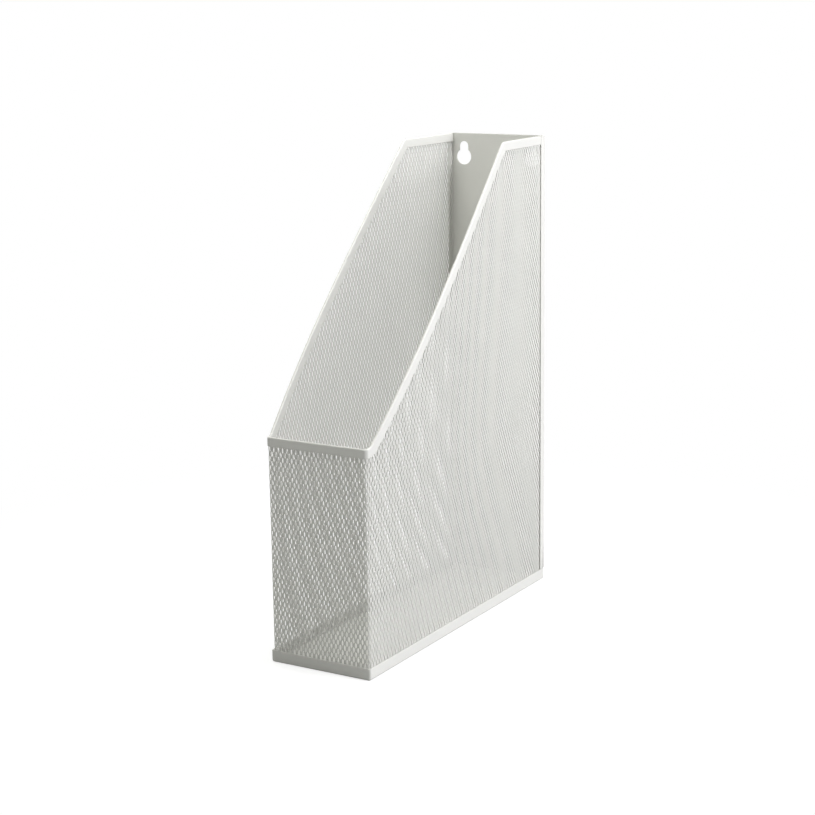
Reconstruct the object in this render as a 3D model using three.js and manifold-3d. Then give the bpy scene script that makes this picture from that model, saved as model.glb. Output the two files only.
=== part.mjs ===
// Magazine file holder, open at the top, with a cut-away front: a folded mesh wrap, a channel rim
// hemmed over its top edge, a solid back panel with two keyholes, and a solid base tray.
//
// Millimetres. +X is to the holder's right as seen from the front, +Y to the back, +Z up.
// The origin is the centre of the footprint, on the surface that the holder stands on.

import * as THREE from "three";
import { mergeVertices } from "three/addons/utils/BufferGeometryUtils.js";
import Module from "manifold-3d";

// Overall size
const WIDTH = 74.5; // over the tray's lips and the back panel's flanges
const DEPTH = 240; // front lip to back face
const HEIGHT = 320;
const FRONT_HEIGHT = 148; // top of the low front edge

// Side outline of the opening
const TOP_FLAT = 65; // level part at the top, from the back face to the slope's corner
const FRONT_FLAT = 5; // level part at the front, from the front lip to the slope's corner
const UPPER_BEND = 6; // radius of the rim's top edge where the level part meets the slope
const LOWER_BEND = 6; // the same where the slope meets the low front

// Sheet thicknesses and gaps
const SHEET = 0.7; // back panel and tray
const MESH = 0.5; // mesh wrap, taken as a solid sheet
const RIM_SHEET = 0.4;
const GAP = 0.3; // between the wrap and the pieces outside it
const RIM_GAP = 0.25; // between the wrap and each leg of the rim

// Folded details
const TRAY_CORNER = 1.6; // upright corners of the tray, outer radius
const WRAP_CORNER = 1.75; // upright corners of the wrap, to the middle of its thickness
const SHEET_BEND = 1.5; // outer radius of the folds in the solid sheet
const LIP = 8; // height of the tray's upturned lips
const FLANGE = 6.5; // depth of the back panel's side flanges
const RIM_DEPTH = 6; // how far the rim reaches down the wrap
const REAR_GAP = 0.3; // wrap and rim to the back panel's front face
const WALL_BOW = 5; // how far each side wall springs outwards
const BOW_SKEW = 0.63; // under 1, the widest point lies nearer to the front
const BOW_SHARPNESS = 1.5; // over 1, the wall eases out of its corner before it swells

// Keyholes in the back panel
const KEYHOLE_X = 27; // from the middle to each keyhole
const KEYHOLE_HEIGHT = 303.5; // centre of the round part
const KEYHOLE_DIAMETER = 11.2;
const KEYHOLE_SLOT = 6.6; // width of the slot above it
const KEYHOLE_RISE = 7.5; // from the round part's centre to the slot's end centre

// Faceting
const LINE_STEP = 12; // longest facet along a straight run
const BEND_STEPS = 6; // facets in each bend
const WRAP_ROWS = 6; // facets up the wrap, the lowest one behind the tray's lip

// Worked out from the sizes above
const FRONT_Y = -DEPTH / 2;
const BACK_Y = DEPTH / 2;
const WRAP_X = WIDTH / 2 - SHEET - GAP - MESH / 2; // middle of the wrap's thickness
const WRAP_FRONT_Y = FRONT_Y + SHEET + GAP + MESH / 2;
const WRAP_REAR_Y = BACK_Y - SHEET - REAR_GAP;
const WRAP_BOTTOM = SHEET + GAP;
const RIM_HALF = MESH / 2 + RIM_GAP + RIM_SHEET; // half of the rim's thickness
const RIM_INNER = RIM_HALF - RIM_SHEET;

const STEEL = { roughness: 0.5, metalness: 0.0 }; // painted all over
const COLOURS = {
  mesh_wrap: 0xcfcfca,
  opening_rim: 0xe4e4e0,
  back_panel: 0xd2d2cd,
  base_tray: 0xdcdcd8,
};

const wasm = await Module();
wasm.setup();

// ---- helpers ------------------------------------------------------------------------------

function merged(geometry) {
  const bare = geometry.clone();
  bare.deleteAttribute("normal");
  bare.deleteAttribute("uv");
  return mergeVertices(bare, 1e-4);
}

function toSolid(geometry) {
  const closed = merged(geometry);
  return new wasm.Manifold(
    new wasm.Mesh({
      numProp: 3,
      vertProperties: new Float32Array(closed.attributes.position.array),
      triVerts: new Uint32Array(closed.index.array),
    }),
  );
}

function toGeometry(solid) {
  const mesh = solid.getMesh();
  const geometry = new THREE.BufferGeometry();
  geometry.setAttribute("position", new THREE.BufferAttribute(mesh.vertProperties, 3));
  geometry.setIndex(new THREE.BufferAttribute(mesh.triVerts, 1));
  return geometry;
}

function named(name, geometry) {
  geometry.computeVertexNormals();
  const material = new THREE.MeshStandardMaterial({ color: COLOURS[name], ...STEEL });
  const mesh = new THREE.Mesh(geometry, material);
  mesh.name = name;
  return mesh;
}

// A block between two corners, for trimming.
function block(low, high) {
  const size = high.map((value, axis) => value - low[axis]);
  const box = new THREE.BoxGeometry(...size);
  box.translate(...low.map((value, axis) => value + size[axis] / 2));
  return toSolid(box);
}

function moveVertices(geometry, place) {
  const bent = merged(geometry);
  const position = bent.attributes.position;
  for (let i = 0; i < position.count; i += 1) {
    const point = place(position.getX(i), position.getY(i), position.getZ(i));
    position.setXYZ(i, point.x, point.y, point.z);
  }
  return bent;
}

// ---- the wrap, drawn flat and then folded ---------------------------------------------------

// The flat blank is measured by run, the distance along the sheet from the middle of the front
// (positive to the right), and by height.
const FRONT_RUN = WRAP_X - WRAP_CORNER; // where the upright corner begins
const CORNER_RUN = (WRAP_CORNER * Math.PI) / 2;
const SIDE_RUN = FRONT_RUN + CORNER_RUN; // where the side wall begins

function runAtDepth(y) {
  return SIDE_RUN + y - (WRAP_FRONT_Y + WRAP_CORNER);
}

function wallBow(y, height) {
  const along = THREE.MathUtils.clamp((y - WRAP_FRONT_Y) / (BACK_Y - WRAP_FRONT_Y), 0, 1);
  const up = THREE.MathUtils.clamp((height - LIP) / (FRONT_HEIGHT - LIP), 0, 1);
  const swell = Math.sin(Math.PI * along ** BOW_SKEW) ** BOW_SHARPNESS;
  return WALL_BOW * swell * Math.sin((Math.PI / 2) * up);
}

// Folds a point of the blank into place, standing off the sheet's middle by offset.
function folded(run, height, offset) {
  const side = Math.sign(run) || 1;
  const beyond = Math.abs(run) - FRONT_RUN;
  const angle = THREE.MathUtils.clamp(beyond / WRAP_CORNER, 0, Math.PI / 2);
  const flat = Math.min(Math.abs(run), FRONT_RUN);
  const back = Math.max(beyond - CORNER_RUN, 0);
  const reach = WRAP_CORNER + offset;
  const x = flat + reach * Math.sin(angle);
  const y = WRAP_FRONT_Y + WRAP_CORNER - reach * Math.cos(angle) + back;
  return new THREE.Vector3(side * (x + wallBow(y, height)), y, height);
}

// The outline of the opening on the flat blank, from the left rear to the right rear. Each point
// has the radius of its bend.
function openingOutline() {
  const rear = runAtDepth(WRAP_REAR_Y);
  const upper = runAtDepth(BACK_Y - TOP_FLAT);
  const lower = runAtDepth(FRONT_Y + FRONT_FLAT);
  const right = [
    [FRONT_RUN, FRONT_HEIGHT, 0],
    [SIDE_RUN, FRONT_HEIGHT, 0],
    [lower, FRONT_HEIGHT, LOWER_BEND],
    [upper, HEIGHT, UPPER_BEND],
    [rear, HEIGHT, 0],
  ];
  const left = right.map(([run, height, radius]) => [-run, height, radius]).reverse();
  return [...left, ...right];
}

// Adds a bend of the given radius at a corner of a path.
function addBend(path, before, corner, after, radius) {
  const inward = corner.clone().sub(before).normalize();
  const outward = after.clone().sub(corner).normalize();
  const turn = inward.cross(outward);
  const cut = radius * Math.tan(Math.acos(inward.dot(outward)) / 2);
  const start = corner.clone().addScaledVector(inward, -cut);
  const end = corner.clone().addScaledVector(outward, cut);
  const toCentre = new THREE.Vector2(-inward.y, inward.x).multiplyScalar(Math.sign(turn) * radius);
  const centre = start.clone().add(toCentre);
  const from = start.clone().sub(centre).angle();
  const to = end.clone().sub(centre).angle();
  path.lineTo(start.x, start.y);
  path.absarc(centre.x, centre.y, radius, from, to, turn < 0);
}

function openingPath() {
  const corners = openingOutline();
  const points = corners.map(([run, height]) => new THREE.Vector2(run, height));
  const path = new THREE.Path();
  path.moveTo(points[0].x, points[0].y);
  for (let i = 1; i < points.length - 1; i += 1) {
    const radius = corners[i][2];
    if (radius > 0) addBend(path, points[i - 1], points[i], points[i + 1], radius);
    else path.lineTo(points[i].x, points[i].y);
  }
  path.lineTo(points.at(-1).x, points.at(-1).y);
  return path;
}

// Stations along the opening's edge: a point of the blank and the direction into the sheet.
function edgeStations() {
  const stations = [];
  const curves = openingPath().curves.filter((curve) => curve.getLength() > 1e-6);
  for (const curve of curves) {
    const middle = Math.abs(curve.getPoint(0.5).x);
    const onCorner = middle > FRONT_RUN && middle < SIDE_RUN;
    const bent = curve.type === "EllipseCurve" || onCorner;
    const steps = bent ? BEND_STEPS : Math.ceil(curve.getLength() / LINE_STEP);
    for (let i = stations.length ? 1 : 0; i <= steps; i += 1) {
      const point = curve.getPoint(i / steps);
      const tangent = curve.getTangent(i / steps);
      stations.push({ point, into: new THREE.Vector2(tangent.y, -tangent.x) });
    }
  }
  return stations;
}

const STATIONS = edgeStations();
const LAST = STATIONS.length - 1;

// A point of the blank below the opening's edge at a station.
function belowEdge(index, depth) {
  const station = STATIONS[Math.round(index)];
  return station.point.clone().addScaledVector(station.into, depth);
}

// ---- sub-parts ------------------------------------------------------------------------------

// One sheet folded round the left side, the front and the right side. It stands straight behind the
// tray's lip and bows only above it.
function meshWrap() {
  const blank = new THREE.BoxGeometry(MESH, 1, LAST, 1, WRAP_ROWS, LAST);
  blank.translate(0, 0.5, LAST / 2);
  return moveVertices(blank, (offset, down, index) => {
    const top = belowEdge(index, RIM_HALF);
    const row = down * WRAP_ROWS;
    const aboveLip = THREE.MathUtils.lerp(top.y, LIP, row / (WRAP_ROWS - 1));
    const height = row > WRAP_ROWS - 0.5 ? WRAP_BOTTOM : aboveLip;
    return folded(top.x, height, offset);
  });
}

// One strip folded to a hairpin section over the wrap's top edge. Its outer leg stops short of the
// back panel's flanges, and its inner leg runs on to the panel.
function openingRim() {
  const section = new THREE.Shape();
  section.moveTo(RIM_HALF, RIM_DEPTH);
  section.lineTo(RIM_INNER, RIM_DEPTH);
  section.lineTo(RIM_INNER, RIM_HALF);
  section.absarc(0, RIM_HALF, RIM_INNER, 0, Math.PI, true);
  section.lineTo(-RIM_INNER, RIM_DEPTH);
  section.lineTo(-RIM_HALF, RIM_DEPTH);
  section.lineTo(-RIM_HALF, RIM_HALF);
  section.absarc(0, RIM_HALF, RIM_HALF, Math.PI, 2 * Math.PI, false);
  section.closePath();
  const strip = new THREE.ExtrudeGeometry(section, {
    depth: LAST,
    steps: LAST,
    curveSegments: BEND_STEPS / 2,
    bevelEnabled: false,
  });
  const bent = moveVertices(strip, (offset, depth, index) => {
    const point = belowEdge(index, depth);
    return folded(point.x, point.y, offset);
  });
  const outerFace = WRAP_X + MESH / 2;
  const rear = BACK_Y - FLANGE - GAP;
  let rim = toSolid(bent);
  for (const side of [-1, 1]) {
    const ends = [side * outerFace, side * WIDTH].sort((a, b) => a - b);
    rim = rim.subtract(block([ends[0], rear, 0], [ends[1], 2 * BACK_Y, 2 * HEIGHT]));
  }
  return toGeometry(rim);
}

// The footprint of the tray or of the space inside its lips.
function footprint(inset, rear) {
  const x = WIDTH / 2 - inset;
  const front = FRONT_Y + inset;
  const radius = TRAY_CORNER - inset;
  const shape = new THREE.Shape();
  shape.moveTo(x, rear);
  shape.lineTo(-x, rear);
  shape.lineTo(-x, front + radius);
  shape.absarc(-x + radius, front + radius, radius, Math.PI, 1.5 * Math.PI, false);
  shape.lineTo(x - radius, front);
  shape.absarc(x - radius, front + radius, radius, 1.5 * Math.PI, 2 * Math.PI, false);
  shape.closePath();
  return shape;
}

// A footprint raised from a height, with its bottom edge rounded by the sheet's fold.
function raised(shape, bottom, fold) {
  const geometry = new THREE.ExtrudeGeometry(shape, {
    depth: 2 * LIP,
    curveSegments: BEND_STEPS,
    bevelThickness: fold,
    bevelSize: fold,
    bevelOffset: -fold,
    bevelSegments: BEND_STEPS / 2,
  });
  geometry.translate(0, 0, bottom + fold);
  return toSolid(geometry);
}

// A floor with upturned lips on all four sides. The rear lip stands between the wrap's ends.
function baseTray() {
  const rear = BACK_Y - SHEET - GAP;
  const far = WIDTH;
  const outer = raised(footprint(0, rear + LIP), 0, SHEET_BEND);
  const inner = raised(footprint(SHEET, rear - SHEET), SHEET, SHEET_BEND - SHEET);
  const behind = block([-far, rear, -1], [far, rear + 4 * LIP, 4 * LIP]);
  const above = block([-far, 2 * FRONT_Y, LIP], [far, 2 * BACK_Y, 4 * LIP]);
  let tray = outer.subtract(inner).subtract(behind).subtract(above);
  const wrapInside = WRAP_X - MESH / 2 - GAP;
  for (const side of [-1, 1]) {
    const ends = [side * wrapInside, side * (WIDTH / 2 - SHEET)].sort((a, b) => a - b);
    const low = [ends[0], rear - 2 * SHEET, SHEET];
    const high = [ends[1], rear + 1, 2 * LIP];
    tray = tray.subtract(block(low, high));
  }
  return toGeometry(tray);
}

// The plan of the back panel, a shallow channel open to the front.
function panelPlan() {
  const x = WIDTH / 2;
  const front = BACK_Y - FLANGE;
  const inner = SHEET_BEND - SHEET;
  const centreX = x - SHEET_BEND;
  const centreY = BACK_Y - SHEET_BEND;
  const plan = new THREE.Shape();
  plan.moveTo(x, front);
  plan.absarc(centreX, centreY, SHEET_BEND, 0, Math.PI / 2, false);
  plan.absarc(-centreX, centreY, SHEET_BEND, Math.PI / 2, Math.PI, false);
  plan.lineTo(-x, front);
  plan.lineTo(-x + SHEET, front);
  plan.absarc(-centreX, centreY, inner, Math.PI, Math.PI / 2, true);
  plan.absarc(centreX, centreY, inner, Math.PI / 2, 0, true);
  plan.lineTo(x - SHEET, front);
  plan.closePath();
  return plan;
}

// A round hole with a narrower slot above it, as a solid that passes through the panel.
function keyhole(x) {
  const round = KEYHOLE_DIAMETER / 2;
  const slot = KEYHOLE_SLOT / 2;
  const meet = Math.asin(slot / round);
  const outline = new THREE.Shape();
  outline.moveTo(slot, KEYHOLE_RISE);
  outline.absarc(0, KEYHOLE_RISE, slot, 0, Math.PI, false);
  outline.absarc(0, 0, round, Math.PI / 2 + meet, Math.PI / 2 - meet + 2 * Math.PI, false);
  outline.closePath();
  const geometry = new THREE.ExtrudeGeometry(outline, {
    depth: 10 * SHEET,
    curveSegments: 4 * BEND_STEPS,
    bevelEnabled: false,
  });
  geometry.rotateX(Math.PI / 2);
  geometry.translate(x, BACK_Y + 5 * SHEET, KEYHOLE_HEIGHT);
  return toSolid(geometry);
}

// A full-height panel whose side flanges lap over the wrap's rear edges, from the tray's lips to
// the top.
function backPanel() {
  const extruded = new THREE.ExtrudeGeometry(panelPlan(), {
    depth: HEIGHT,
    curveSegments: BEND_STEPS,
    bevelEnabled: false,
  });
  let panel = toSolid(extruded);
  const face = BACK_Y - SHEET;
  const far = WIDTH;
  panel = panel.subtract(block([-far, face - FLANGE, -LIP], [far, face, LIP + GAP]));
  for (const side of [-1, 1]) panel = panel.subtract(keyhole(side * KEYHOLE_X));
  return toGeometry(panel);
}

// ---- assembly -------------------------------------------------------------------------------

const holder = new THREE.Group();
holder.add(named("base_tray", baseTray()));
holder.add(named("back_panel", backPanel()));
holder.add(named("mesh_wrap", meshWrap()));
holder.add(named("opening_rim", openingRim()));

export default holder;
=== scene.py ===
"""Magazine file holder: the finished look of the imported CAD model.

The wrap of expanded metal, the rim over its edge, the back panel and the tray are built as fine
meshes that follow the CAD pieces. Metres, +X to the holder's right seen from the front, +Y to the
back, +Z up.
"""

import math

import bmesh
import bpy
import numpy as np
from mathutils import Matrix, Vector
from mathutils.geometry import tessellate_polygon


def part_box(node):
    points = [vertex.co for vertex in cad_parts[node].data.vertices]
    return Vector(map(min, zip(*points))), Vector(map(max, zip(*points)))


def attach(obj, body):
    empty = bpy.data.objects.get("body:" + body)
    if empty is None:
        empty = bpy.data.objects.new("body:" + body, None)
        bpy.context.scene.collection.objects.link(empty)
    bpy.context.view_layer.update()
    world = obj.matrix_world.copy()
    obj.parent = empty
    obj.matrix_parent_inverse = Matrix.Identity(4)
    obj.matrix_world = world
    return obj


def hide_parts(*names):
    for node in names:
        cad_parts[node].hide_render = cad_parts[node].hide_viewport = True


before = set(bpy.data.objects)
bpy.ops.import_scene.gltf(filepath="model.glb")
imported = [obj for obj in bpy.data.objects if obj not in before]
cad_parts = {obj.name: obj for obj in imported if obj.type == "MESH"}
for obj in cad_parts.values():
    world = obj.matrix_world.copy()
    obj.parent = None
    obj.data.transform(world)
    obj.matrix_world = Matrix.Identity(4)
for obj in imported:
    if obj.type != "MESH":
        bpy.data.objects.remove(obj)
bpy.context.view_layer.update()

MM = 0.001

# ---- sizes from the frame -------------------------------------------------------------------

TRAY_LOW, TRAY_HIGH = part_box("base_tray")
PANEL_LOW, PANEL_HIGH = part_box("back_panel")
HALF_WIDTH = PANEL_HIGH.x
FRONT_Y = TRAY_LOW.y
BACK_Y = PANEL_HIGH.y
HEIGHT = PANEL_HIGH.z
LIP = TRAY_HIGH.z
WRAP_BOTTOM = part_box("mesh_wrap")[0].z
TRAY_REAR_Y = TRAY_HIGH.y
FLANGE = PANEL_HIGH.y - PANEL_LOW.y

# ---- sizes of the design --------------------------------------------------------------------

# The solid sheet of the tray and the back panel
SHEET = 0.7 * MM
SHEET_BEND = 1.5 * MM  # outer radius of its folds
SHEET_EDGE = 0.28 * MM  # how far its cut edges are rounded by the paint
TRAY_CORNER = 1.6 * MM  # upright corners of the tray
FLANGE_CORNER = 2.0 * MM  # the blank's corners at the top of the flanges
FLANGE_GAP = 0.3 * MM  # from the tray's lip to the flange above it
REAR_GAP = 1.0 * MM  # from the wrap and the rim to the back panel's inner face

# The wrap and the outline of the opening
MESH = 0.5 * MM
GAP = 0.3 * MM
WRAP_CORNER = 1.75 * MM
FRONT_HEIGHT = 148 * MM
TOP_FLAT = 65 * MM  # level part at the top, from the back face to the slope's corner
FRONT_FLAT = 5 * MM  # level part at the front, from the front lip to the slope's corner
UPPER_BEND = 6 * MM
LOWER_BEND = 6 * MM
WALL_BOW = 5 * MM  # how far each side wall springs outwards
BOW_SKEW = 0.63  # under 1, the widest point lies nearer to the front
BOW_SHARPNESS = 1.5  # over 1, the wall eases out of its corner before it swells

# The rim
RIM_SHEET = 0.4 * MM
RIM_HALF = 0.9 * MM  # half of its thickness over the wrap
RIM_DEPTH = 6 * MM
RIM_END_CORNER = 2.8 * MM  # rounding of its rear ends
RIM_OUTER_LEG = 0.3 * MM  # stand-off past which it stops at the flanges
RIM_FLANGE_GAP = 0.05 * MM
RIM_TRIM = 4 * MM  # last stretch, which is drawn in to shape the ends

# Keyholes
KEYHOLE_X = 27 * MM
KEYHOLE_HEIGHT = 303.5 * MM
KEYHOLE_RADIUS = 5.6 * MM
KEYHOLE_SLOT = 3.3 * MM  # half of the slot's width
KEYHOLE_RISE = 7.5 * MM

# Expanded metal
SHORT_WAY = 3.3 * MM
LONG_WAY = 6.1 * MM
STRAND_WIDTH = 1.02 * MM
BOND_WIDTH = 1.18 * MM  # of each of the two strands that meet in a bond
STRAND_THICKNESS = 0.45 * MM
STRAND_TILT = math.radians(4)
BOND_SHARE = 0.17  # half the length of a bond, as a share of the long way
BOND_SPREAD = 0.39  # how far a strand stands off a bond's middle, as a share of BOND_WIDTH
FLANGE_LEAN = 0.14 * MM  # how far the mesh leans out towards the flanges, short of touching
LEAN_REACH = 14 * MM
SHORTEST_STEP = 0.1 * MM  # between a strand's end and its next section
MESH_SEAMS = (-45 * MM, 20 * MM, 68 * MM)  # depths where one piece of mesh meets the next

WRAP_X = HALF_WIDTH - SHEET - GAP - MESH / 2
WRAP_FRONT_Y = FRONT_Y + SHEET + GAP + MESH / 2
PANEL_FACE_Y = BACK_Y - SHEET
REAR_Y = PANEL_FACE_Y - REAR_GAP
RIM_FLANGE_Y = BACK_Y - FLANGE - RIM_FLANGE_GAP
FRONT_RUN = WRAP_X - WRAP_CORNER
CORNER_RUN = WRAP_CORNER * math.pi / 2
SIDE_RUN = FRONT_RUN + CORNER_RUN


# ---- folding --------------------------------------------------------------------------------


def run_at_depth(y):
    """Distance along the flat blank, from the middle of the front, of a point of the side wall."""
    return SIDE_RUN + y - (WRAP_FRONT_Y + WRAP_CORNER)


def wall_bow(y, height):
    """How far a side wall stands outside the straight line from its front to its rear."""
    along = np.clip((y - WRAP_FRONT_Y) / (BACK_Y - WRAP_FRONT_Y), 0, 1)
    up = np.clip((height - LIP) / (FRONT_HEIGHT - LIP), 0, 1)
    swell = np.maximum(np.sin(np.pi * along**BOW_SKEW), 0) ** BOW_SHARPNESS
    return WALL_BOW * swell * np.sin(np.pi / 2 * up)


def folded(run, height, offset):
    """Folds points of the flat blank into place, standing off the sheet's middle by offset."""
    run, height, offset = np.broadcast_arrays(run, height, offset)
    side = np.where(run < 0, -1.0, 1.0)
    beyond = np.abs(run) - FRONT_RUN
    angle = np.clip(beyond / WRAP_CORNER, 0, np.pi / 2)
    flat = np.minimum(np.abs(run), FRONT_RUN)
    back = np.maximum(beyond - CORNER_RUN, 0)
    reach = WRAP_CORNER + offset
    x = flat + reach * np.sin(angle)
    y = WRAP_FRONT_Y + WRAP_CORNER - reach * np.cos(angle) + back
    return np.stack([side * (x + wall_bow(y, height)), y, height], axis=-1)


# ---- mesh helpers ---------------------------------------------------------------------------


def make_piece(name, points, faces, replaced, material, level_normals=True):
    """A piece of the holder that stands for a CAD node."""
    mesh = bpy.data.meshes.new(name)
    mesh.from_pydata(np.asarray(points).tolist(), [], faces)
    mesh.validate()
    mesh.update()
    mesh.polygons.foreach_set("use_smooth", [True] * len(mesh.polygons))
    mesh.materials.append(material)
    piece = bpy.data.objects.new(name, mesh)
    bpy.context.scene.collection.objects.link(piece)
    if level_normals:
        piece.modifiers.new("level_normals", "WEIGHTED_NORMAL")
    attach(piece, "root")
    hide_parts(replaced)


def ring_faces(stations, ring):
    """Quads between closed rings of points, with the two ends capped."""
    faces = []
    for i in range(stations - 1):
        for j in range(ring):
            k = (j + 1) % ring
            faces.append((i * ring + j, i * ring + k, (i + 1) * ring + k, (i + 1) * ring + j))
    faces.append(tuple(range(ring))[::-1])
    faces.append(tuple((stations - 1) * ring + j for j in range(ring)))
    return faces


def arc(centre, radius, start, end, steps):
    """Points of an arc from one angle to another."""
    angles = np.linspace(start, end, steps + 1)
    return np.stack([centre[0] + radius * np.cos(angles), centre[1] + radius * np.sin(angles)], 1)


def bend(before, corner, after, radius, steps):
    """Points of the arc that rounds a corner of an outline."""
    inward = (corner - before) / np.linalg.norm(corner - before)
    outward = (after - corner) / np.linalg.norm(after - corner)
    turn = inward[0] * outward[1] - inward[1] * outward[0]
    half = math.acos(np.clip(inward @ outward, -1, 1)) / 2
    start = corner - inward * radius * math.tan(half)
    side = math.copysign(1, turn)
    centre = start + side * radius * np.array([-inward[1], inward[0]])
    first = math.atan2(*(start - centre)[::-1])
    return arc(centre, radius, first, first + side * 2 * half, steps)


# ---- the opening's edge ---------------------------------------------------------------------


def opening_outline(step, bend_steps):
    """Edge of the opening on the flat blank, from the left rear to the right rear."""
    rear = run_at_depth(REAR_Y)
    upper = run_at_depth(BACK_Y - TOP_FLAT)
    lower = run_at_depth(FRONT_Y + FRONT_FLAT)
    corners = [(rear, HEIGHT, 0), (upper, HEIGHT, UPPER_BEND), (lower, FRONT_HEIGHT, LOWER_BEND)]
    left = [(-run, height, radius) for run, height, radius in corners]
    outline = left + corners[::-1]
    points = [np.array(c[:2]) for c in outline]
    turns = [points[:1]]
    for i in range(1, len(points) - 1):
        turns.append(bend(points[i - 1], points[i], points[i + 1], outline[i][2], bend_steps))
    turns.append(points[-1:])
    edge = []
    for here, there in zip(turns, turns[1:]):
        edge.extend(here)
        gap = there[0] - here[-1]
        count = int(np.linalg.norm(gap) / step)
        edge.extend(here[-1] + gap * i / (count + 1) for i in range(1, count + 1))
    edge.extend(turns[-1])
    return np.array(edge)


EDGE = opening_outline(step=0.9 * MM, bend_steps=24)


def edge_height(run):
    """Height of the opening's edge at a distance along the blank."""
    return float(np.interp(run, EDGE[:, 0], EDGE[:, 1]))


# ---- expanded metal -------------------------------------------------------------------------

# Six-sided section of a strand, in shares of its width and of its thickness
STRAND_SECTION = [(-0.5, 0), (-0.36, -0.5), (0.36, -0.5), (0.5, 0), (0.36, 0.5), (-0.36, 0.5)]


def strand_levels(column):
    """Heights of a strand's sections, and its share of the way from one bond line to the next."""
    # In half of the long way: a bond's end, the middle of the slant and the next bond's start
    half = [BOND_SHARE, 0.25, 0.5 - BOND_SHARE]
    keys = np.array(half + [0.5 + key for key in half])
    shares = np.array([0, 0.5, 1, 1, 0.5, 0])
    top = edge_height((column + 0.5) * SHORT_WAY / 2) - RIM_DEPTH / 2
    count = math.ceil(top / LONG_WAY) + 2
    heights = ((np.arange(count) - 1)[:, None] + keys[None, :]) * LONG_WAY
    heights = heights.ravel() - (column % 2) * LONG_WAY / 2
    shares = np.tile(shares, count)
    levels = np.concatenate([[WRAP_BOTTOM], heights, [top]])
    ends = np.interp([WRAP_BOTTOM, top], heights, shares)
    shares = np.concatenate([ends[:1], shares, ends[1:]])
    kept = (levels > WRAP_BOTTOM + SHORTEST_STEP) & (levels < top - SHORTEST_STEP)
    kept[[0, -1]] = True
    return levels[kept], shares[kept]


def flange_lean(run):
    """Stand-off that brings the mesh closer to the flange that laps over its rear edge."""
    start = run_at_depth(BACK_Y - FLANGE) - LEAN_REACH
    share = np.clip((np.abs(run) - start) / LEAN_REACH, 0, 1)
    return FLANGE_LEAN * share**2 * (3 - 2 * share)


def strand(column):
    """Points of a zigzag strand that joins the bonds of two neighbouring lines."""
    heights, share = strand_levels(column)
    at_bond = np.abs(2 * share - 1)
    width = STRAND_WIDTH + (BOND_WIDTH - STRAND_WIDTH) * at_bond
    spread = BOND_SPREAD * BOND_WIDTH
    cosine, sine = math.cos(STRAND_TILT), math.sin(STRAND_TILT)
    low = column * SHORT_WAY / 2 + spread * cosine
    high = (column + 1) * SHORT_WAY / 2 - spread * cosine
    run = low + (high - low) * share
    off = spread * sine * (1 - 2 * share) + flange_lean(run)
    section = np.array(STRAND_SECTION)
    across = section[None, :, 0] * width[:, None]
    through = section[None, :, 1] * STRAND_THICKNESS
    d_run = across * cosine - through * sine
    d_off = across * sine + through * cosine
    points = folded(run[:, None] + d_run, heights[:, None], off[:, None] + d_off)
    return points.reshape(-1, 3), len(heights)


def mesh_panel(name, run_from, run_to, material):
    """One piece of the wrap: the strands between two distances along the flat blank."""
    first = math.ceil(run_from / (SHORT_WAY / 2) - 0.5)
    last = math.ceil(run_to / (SHORT_WAY / 2) - 0.5)
    strands = []
    faces = []
    count = 0
    for column in range(first, last):
        points, stations = strand(column)
        rings = ring_faces(stations, len(STRAND_SECTION))
        faces.extend(tuple(v + count for v in face) for face in rings)
        strands.append(points)
        count += len(points)
    points = np.concatenate(strands)
    make_piece(name, points, faces, "mesh_wrap", material, level_normals=False)


def mesh_panels(material):
    """The wrap: the front, and pieces of each side wall numbered from the front to the rear."""
    mesh_panel("mesh_front", -SIDE_RUN, SIDE_RUN, material)
    seams = [SIDE_RUN] + [run_at_depth(y) for y in (*MESH_SEAMS, REAR_Y)]
    for number, (near, far) in enumerate(zip(seams, seams[1:]), 1):
        mesh_panel(f"mesh_left_{number}", -far, -near, material)
        mesh_panel(f"mesh_right_{number}", near, far, material)


# ---- rim ------------------------------------------------------------------------------------


def rim_section():
    """Hairpin section: points of stand-off and depth below the edge."""
    cap = RIM_SHEET / 2
    middle = RIM_HALF - cap
    tip = RIM_DEPTH - cap
    outer = arc((0, RIM_HALF), RIM_HALF, -math.pi, 0, steps=16)
    right = arc((middle, tip), cap, 0, math.pi, steps=6)
    inner = arc((0, RIM_HALF), RIM_HALF - RIM_SHEET, 0, -math.pi, steps=12)
    left = arc((-middle, tip), cap, 0, math.pi, steps=6)
    return np.concatenate([outer, right, inner, left])


def rim_end(depth, offset):
    """Run at which the rim ends: the outer leg at the flange, the rest with a rounded corner."""
    short = np.maximum(RIM_END_CORNER - depth, 0)
    cut = RIM_END_CORNER - np.sqrt(RIM_END_CORNER**2 - short**2)
    outer = offset > RIM_OUTER_LEG
    return np.where(outer, run_at_depth(RIM_FLANGE_Y), run_at_depth(REAR_Y) - cut)


def trim_to_end(run, end):
    """Draws the last part of the rim in, so that it stops at end."""
    whole = run_at_depth(REAR_Y)
    start = end - RIM_TRIM
    scale = (end - start) / (whole - start)
    drawn = start + (np.abs(run) - start) * scale
    return np.sign(run) * np.where(np.abs(run) > start, drawn, np.abs(run))


def rim(material):
    section = rim_section()
    gradient = np.gradient(EDGE, axis=0)
    tangent = gradient / np.linalg.norm(gradient, axis=1)[:, None]
    into = np.stack([tangent[:, 1], -tangent[:, 0]], 1)
    flat = EDGE[:, None, :] + into[:, None, :] * section[None, :, 1:2]
    end = rim_end(section[:, 1], section[:, 0])[None, :]
    points = folded(trim_to_end(flat[..., 0], end), flat[..., 1], section[None, :, 0])
    faces = ring_faces(len(EDGE), len(section))
    make_piece("rim", points.reshape(-1, 3), faces, "opening_rim", material)


# ---- tray -----------------------------------------------------------------------------------


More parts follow.
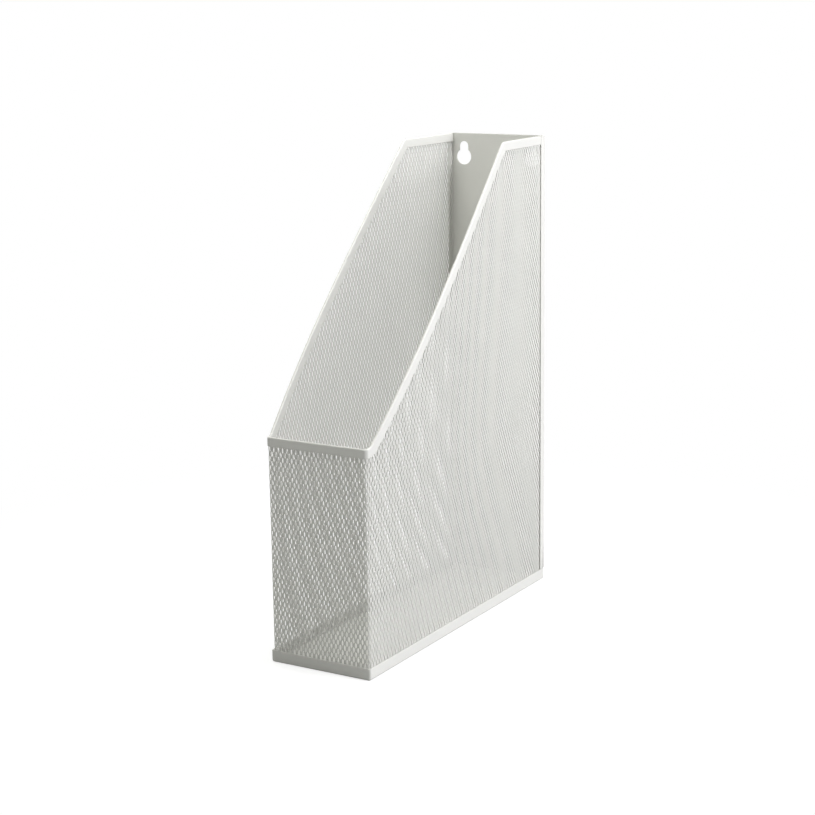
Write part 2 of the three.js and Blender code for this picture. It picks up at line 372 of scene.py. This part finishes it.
def tray_ring(inset, z):
    """Rounded rectangle round the tray at an inset from its outer faces."""
    x = HALF_WIDTH - inset
    front = FRONT_Y + inset
    rear = TRAY_REAR_Y - inset
    radius = TRAY_CORNER - inset
    corners = [
        ((x - radius, front + radius), -math.pi / 2),
        ((x - radius, rear - radius), 0),
        ((-x + radius, rear - radius), math.pi / 2),
        ((-x + radius, front + radius), math.pi),
    ]
    bends = [arc(centre, radius, a, a + math.pi / 2, steps=8) for centre, a in corners]
    ring = np.concatenate(bends)
    return np.column_stack([ring, np.full(len(ring), z)])


def tray_profile():
    """Insets and heights across the sheet, from under the floor over the lip to the floor's top."""
    edge = SHEET_EDGE
    inner_bend = SHEET_BEND - SHEET
    under = arc((SHEET_BEND, SHEET_BEND), SHEET_BEND, -math.pi / 2, -math.pi, steps=8)
    outside = arc((edge, LIP - edge), edge, math.pi, math.pi / 2, steps=4)
    inside = arc((SHEET - edge, LIP - edge), edge, math.pi / 2, 0, steps=4)
    above = arc((SHEET_BEND, SHEET_BEND), inner_bend, -math.pi, -math.pi / 2, steps=6)
    return np.concatenate([under, outside, inside, above])


def tray(material):
    rings = [tray_ring(inset, z) for inset, z in tray_profile()]
    faces = ring_faces(len(rings), len(rings[0]))
    make_piece("tray", np.concatenate(rings), faces, "base_tray", material)


# ---- back panel -----------------------------------------------------------------------------

PANEL_FLAT = HALF_WIDTH - SHEET_BEND  # half of the flat face between the folds
PANEL_BEND = SHEET_BEND - SHEET / 2  # fold radius to the middle of the sheet
PANEL_BEND_RUN = PANEL_BEND * math.pi / 2
PANEL_RUN = PANEL_FLAT + PANEL_BEND_RUN + FLANGE - SHEET_BEND
EDGE_STEPS = 3  # facets round each cut edge
FOLD_STEPS = 8  # facets in each fold
CUT_TOLERANCE = 1e-7


def panel_outline(inset):
    """Outline of the panel's flat blank, anticlockwise, notched under the flanges."""
    run = PANEL_RUN - inset
    top = HEIGHT - inset
    notch = LIP + FLANGE_GAP + inset
    foot = PANEL_FLAT - inset
    radius = FLANGE_CORNER - inset
    right = arc((run - radius, top - radius), radius, 0, math.pi / 2, steps=8)
    left = right[::-1] * (-1, 1)
    ends = [(foot, inset), (foot, notch), (run, notch)]
    return np.concatenate([ends, right, left, np.array(ends)[::-1] * (-1, 1)])


def keyhole_outline(x, grow):
    """Outline of a keyhole, clockwise, widened by grow."""
    radius = KEYHOLE_RADIUS + grow
    slot = KEYHOLE_SLOT + grow
    meet = math.asin(slot / radius)
    head = arc((0, KEYHOLE_RISE), slot, math.pi, 0, steps=24)
    round_part = arc((0, 0), radius, math.pi / 2 - meet, meet - 1.5 * math.pi, steps=48)
    return np.concatenate([head, round_part]) + (x, KEYHOLE_HEIGHT)


def plate_faces(rings):
    """Faces of a flat plate from the matching outlines of its layers, given as lists of loops."""
    sizes = [len(loop) for loop in rings[0]]
    starts = np.concatenate([[0], np.cumsum(sizes)[:-1]])
    layer_size = sum(sizes)
    faces = []
    for layer in range(len(rings) - 1):
        low = layer * layer_size
        for start, size in zip(starts, sizes):
            for j in range(size):
                a = low + start + j
                b = low + start + (j + 1) % size
                faces.append((a, b, b + layer_size, a + layer_size))
    fill = tessellate_polygon([[Vector((*p, 0)) for p in loop] for loop in rings[0]])
    last = (len(rings) - 1) * layer_size
    faces.extend(tuple(t) for t in fill)
    faces.extend(tuple(v + last for v in t) for t in fill)
    return faces


def fold_panel(run, height, offset):
    """Folds a point of the panel's blank, standing off the sheet's middle by offset to the back."""
    side = math.copysign(1, run)
    beyond = abs(run) - PANEL_FLAT
    angle = min(max(beyond / PANEL_BEND, 0), math.pi / 2)
    reach = PANEL_BEND + offset
    x = min(abs(run), PANEL_FLAT) + reach * math.sin(angle)
    y = BACK_Y - SHEET_BEND + reach * math.cos(angle) - max(beyond - PANEL_BEND_RUN, 0)
    return side * x, y, height


def panel_loops(inset):
    """Outlines of the panel and its keyholes at an inset from their edges."""
    keyholes = [keyhole_outline(x, inset) for x in (-KEYHOLE_X, KEYHOLE_X)]
    return [panel_outline(inset)] + keyholes


def back_panel(material):
    """The flat blank is made in layers with rounded edges, cut along its folds and folded."""
    angles = np.linspace(0, math.pi / 2, EDGE_STEPS + 1)
    edge = SHEET_EDGE
    levels = [(edge * (1 - math.sin(a)), SHEET / 2 - edge * (1 - math.cos(a))) for a in angles]
    layers = [(inset, -offset) for inset, offset in levels] + levels[::-1]
    rings = [panel_loops(inset) for inset, _ in layers]
    flat = bmesh.new()
    for (_, offset), loops in zip(layers, rings):
        for run, height in np.concatenate(loops):
            flat.verts.new((run, height, offset))
    flat.verts.ensure_lookup_table()
    for face in plate_faces(rings):
        flat.faces.new([flat.verts[i] for i in face])
    bmesh.ops.recalc_face_normals(flat, faces=flat.faces)
    for share in np.linspace(0, 1, FOLD_STEPS + 1):
        for side in (-1, 1):
            place = (side * (PANEL_FLAT + PANEL_BEND_RUN * share), 0, 0)
            parts = flat.verts[:] + flat.edges[:] + flat.faces[:]
            bmesh.ops.bisect_plane(
                flat, geom=parts, plane_co=place, plane_no=(1, 0, 0), dist=CUT_TOLERANCE
            )
    flat.verts.index_update()
    points = [fold_panel(*v.co) for v in flat.verts]
    faces = [tuple(v.index for v in face.verts) for face in flat.faces]
    flat.free()
    make_piece("panel", points, faces, "back_panel", material)


# ---- materials ------------------------------------------------------------------------------

PAINT = (0.655, 0.655, 0.618)
NOISE_LOW = 0.3  # noise seldom leaves the range between these
NOISE_HIGH = 0.7

# How many times each pattern of the powder coat repeats in a metre
CLOUDS = 24
PATCHES = 420
PEBBLES = 1100
GRAINS = 2600

CLOUD_SHADE = 0.965  # brightness of the darkest clouding, as a share of the paint's
GRAIN_SHADE = 0.93  # the same for the grain
GRAIN_SHARE = 0.5  # how much of the grain's shade is mixed in at most
PEBBLE_HEIGHT = 0.02 * MM
PEBBLE_STRENGTH = 0.5
ROUGHNESS_SPREAD = (-0.05, 0.06)  # how far the patches shift the roughness


def powder_coat(name, roughness):
    """Satin powder coat: faint clouding, fine grain and the slight pebble of baked powder."""
    material = bpy.data.materials.new(name)
    material.use_nodes = True
    tree = material.node_tree
    link = tree.links.new
    shader = tree.nodes["Principled BSDF"]
    place = tree.nodes.new("ShaderNodeTexCoord").outputs["Object"]

    def noise(scale, detail):
        node = tree.nodes.new("ShaderNodeTexNoise")
        node.inputs["Scale"].default_value = scale
        node.inputs["Detail"].default_value = detail
        link(place, node.inputs["Vector"])
        return node.outputs["Fac"]

    def ramp(value, low, high):
        node = tree.nodes.new("ShaderNodeMapRange")
        node.inputs["From Min"].default_value = NOISE_LOW
        node.inputs["From Max"].default_value = NOISE_HIGH
        node.inputs["To Min"].default_value = low
        node.inputs["To Max"].default_value = high
        link(value, node.inputs["Value"])
        return node.outputs["Result"]

    def shade(share):
        return (*[c * share for c in PAINT], 1)

    def tint(factor, colour, share):
        """Mixes the paint at a share of its brightness into a colour."""
        node = tree.nodes.new("ShaderNodeMix")
        node.data_type = "RGBA"
        colours = [socket for socket in node.inputs if socket.type == "RGBA"]
        link(factor, node.inputs["Factor"])
        if isinstance(colour, tuple):
            colours[0].default_value = colour
        else:
            link(colour, colours[0])
        colours[1].default_value = shade(share)
        return next(socket for socket in node.outputs if socket.type == "RGBA")

    clouds = tint(ramp(noise(CLOUDS, 3), 0, 1), shade(CLOUD_SHADE), 1.0)
    grain = tint(ramp(noise(GRAINS, 1), 0, GRAIN_SHARE), clouds, GRAIN_SHADE)
    link(grain, shader.inputs["Base Color"])
    low, high = (roughness + shift for shift in ROUGHNESS_SPREAD)
    link(ramp(noise(PATCHES, 2), low, high), shader.inputs["Roughness"])
    pebble = tree.nodes.new("ShaderNodeBump")
    pebble.inputs["Distance"].default_value = PEBBLE_HEIGHT
    pebble.inputs["Strength"].default_value = PEBBLE_STRENGTH
    link(noise(PEBBLES, 2), pebble.inputs["Height"])
    link(pebble.outputs["Normal"], shader.inputs["Normal"])
    return material


# ---- stage ----------------------------------------------------------------------------------

WORLD_LIGHT = 0.04
WORLD_COLOUR = (1.0, 1.0, 0.95, 1)
FLOOR_REACH = 4.0
FLOOR_DROP = 0.1 * MM  # keeps the floor clear of the tray
FLOOR_COLOUR = (0.4, 0.4, 0.4, 1)
FLOOR_GLOW = 0.7
FADE_START = 0.15  # distance from the middle of the footprint where the floor starts to fade
FADE_END = 0.45
MIDDLE = (0, 0, 0.16)  # where all but the overhead light point
COOL_WHITE = (0.965, 0.963, 1.0)
WARM_WHITE = (0.995, 1.0, 0.97)


def mix_for_camera(tree, unseen, seen):
    """Shows one shader to the camera and lights the scene with the other."""
    path = tree.nodes.new("ShaderNodeLightPath")
    mix = tree.nodes.new("ShaderNodeMixShader")
    tree.links.new(path.outputs["Is Camera Ray"], mix.inputs["Fac"])
    tree.links.new(unseen, mix.inputs[1])
    tree.links.new(seen, mix.inputs[2])
    return mix.outputs["Shader"]


def studio_world():
    world = bpy.data.worlds.new("studio")
    bpy.context.scene.world = world
    world.use_nodes = True
    tree = world.node_tree
    ambient = tree.nodes["Background"]
    ambient.inputs["Color"].default_value = WORLD_COLOUR
    ambient.inputs["Strength"].default_value = WORLD_LIGHT
    paper = tree.nodes.new("ShaderNodeBackground")
    paper.inputs["Color"].default_value = (1, 1, 1, 1)
    seen = mix_for_camera(tree, ambient.outputs[0], paper.outputs[0])
    tree.links.new(seen, tree.nodes["World Output"].inputs["Surface"])


def floor():
    """A pale floor, lit up for the camera so that it fades into the background."""
    mesh = bpy.data.meshes.new("floor")
    corners = [(-1, -1), (1, -1), (1, 1), (-1, 1)]
    points = [(x * FLOOR_REACH, y * FLOOR_REACH, -FLOOR_DROP) for x, y in corners]
    mesh.from_pydata(points, [], [(0, 1, 2, 3)])
    material = bpy.data.materials.new("pale_floor")
    material.use_nodes = True
    tree = material.node_tree
    matt = tree.nodes.new("ShaderNodeBsdfDiffuse")
    matt.inputs["Color"].default_value = FLOOR_COLOUR
    glow = tree.nodes.new("ShaderNodeEmission")
    glow.inputs["Strength"].default_value = FLOOR_GLOW
    lit = tree.nodes.new("ShaderNodeAddShader")
    tree.links.new(matt.outputs[0], lit.inputs[0])
    tree.links.new(glow.outputs[0], lit.inputs[1])
    place = tree.nodes.new("ShaderNodeTexCoord")
    away = tree.nodes.new("ShaderNodeVectorMath")
    away.operation = "LENGTH"
    tree.links.new(place.outputs["Object"], away.inputs[0])
    fade = tree.nodes.new("ShaderNodeMapRange")
    fade.interpolation_type = "SMOOTHSTEP"
    fade.inputs["From Min"].default_value = FADE_START
    fade.inputs["From Max"].default_value = FADE_END
    tree.links.new(away.outputs["Value"], fade.inputs["Value"])
    paper = tree.nodes.new("ShaderNodeEmission")
    faded = tree.nodes.new("ShaderNodeMixShader")
    tree.links.new(fade.outputs["Result"], faded.inputs["Fac"])
    tree.links.new(lit.outputs[0], faded.inputs[1])
    tree.links.new(paper.outputs[0], faded.inputs[2])
    seen = mix_for_camera(tree, matt.outputs[0], faded.outputs[0])
    tree.links.new(seen, tree.nodes["Material Output"].inputs["Surface"])
    mesh.materials.append(material)
    piece = bpy.data.objects.new("floor", mesh)
    bpy.context.scene.collection.objects.link(piece)


def area_light(name, place, size, power, colour, target=MIDDLE):
    """A square soft light."""
    data = bpy.data.lights.new(name, "AREA")
    data.energy = power
    data.color = colour
    data.size = size
    light = bpy.data.objects.new(name, data)
    light.location = place
    aim = Vector(target) - Vector(place)
    light.rotation_euler = aim.to_track_quat("-Z", "Y").to_euler()
    bpy.context.scene.collection.objects.link(light)


# ---- camera ---------------------------------------------------------------------------------

AZIMUTH = math.radians(30.749)
ELEVATION = math.radians(11.886)
ROLL = math.radians(-0.731)
DISTANCE = 3.870 * HEIGHT  # from the holder's middle
PAN = math.radians(0.195)
TILT = math.radians(-0.590)
SENSOR = 36.0  # width of the sensor and focal length, in the camera's millimetres
LENS = 82.10


def add_camera():
    """A camera to the front right of the holder, a little above it."""
    centre = Vector((0, 0, HEIGHT / 2))
    back = Vector(
        (
            math.sin(AZIMUTH) * math.cos(ELEVATION),
            -math.cos(AZIMUTH) * math.cos(ELEVATION),
            math.sin(ELEVATION),
        )
    )
    right = (-back).cross(Vector((0, 0, 1))).normalized()
    up = right.cross(-back)
    right, up = (
        right * math.cos(ROLL) + up * math.sin(ROLL),
        up * math.cos(ROLL) - right * math.sin(ROLL),
    )
    forward = Matrix.Rotation(PAN, 3, up) @ -back
    right = Matrix.Rotation(PAN, 3, up) @ right
    forward = Matrix.Rotation(TILT, 3, right) @ forward
    up = Matrix.Rotation(TILT, 3, right) @ up
    data = bpy.data.cameras.new("camera")
    data.lens = LENS
    data.sensor_width = SENSOR
    data.clip_start = 0.01
    camera = bpy.data.objects.new("camera", data)
    turn = Matrix((right, up, -forward)).transposed().to_4x4()
    camera.matrix_world = Matrix.Translation(centre + back * DISTANCE) @ turn
    bpy.context.scene.collection.objects.link(camera)
    bpy.context.scene.camera = camera


# ---- the holder in its studio ---------------------------------------------------------------

sheet_paint = powder_coat("sheet_powder_coat", roughness=0.48)
mesh_paint = powder_coat("mesh_powder_coat", roughness=0.48)
rim_paint = powder_coat("rim_powder_coat", roughness=0.45)

tray(sheet_paint)
back_panel(sheet_paint)
mesh_panels(mesh_paint)
rim(rim_paint)

studio_world()
floor()
area_light("key", (2.6, 0.9, 0.7), 1.6, 72, COOL_WHITE)
area_light("high_key", (1.1, 0.4, 1.2), 1.0, 17, COOL_WHITE)
area_light("fill", (-0.4, -1.5, 0.6), 1.0, 6.0, WARM_WHITE)
area_light("overhead", (0, -0.17, 0.85), 0.4, 3.8, WARM_WHITE, target=(0, 0, 0.2))
area_light("back_fill", (-1.6, 1.0, 0.7), 1.4, 20, WARM_WHITE)
add_camera()
bpy.context.scene.view_settings.view_transform = "Standard"
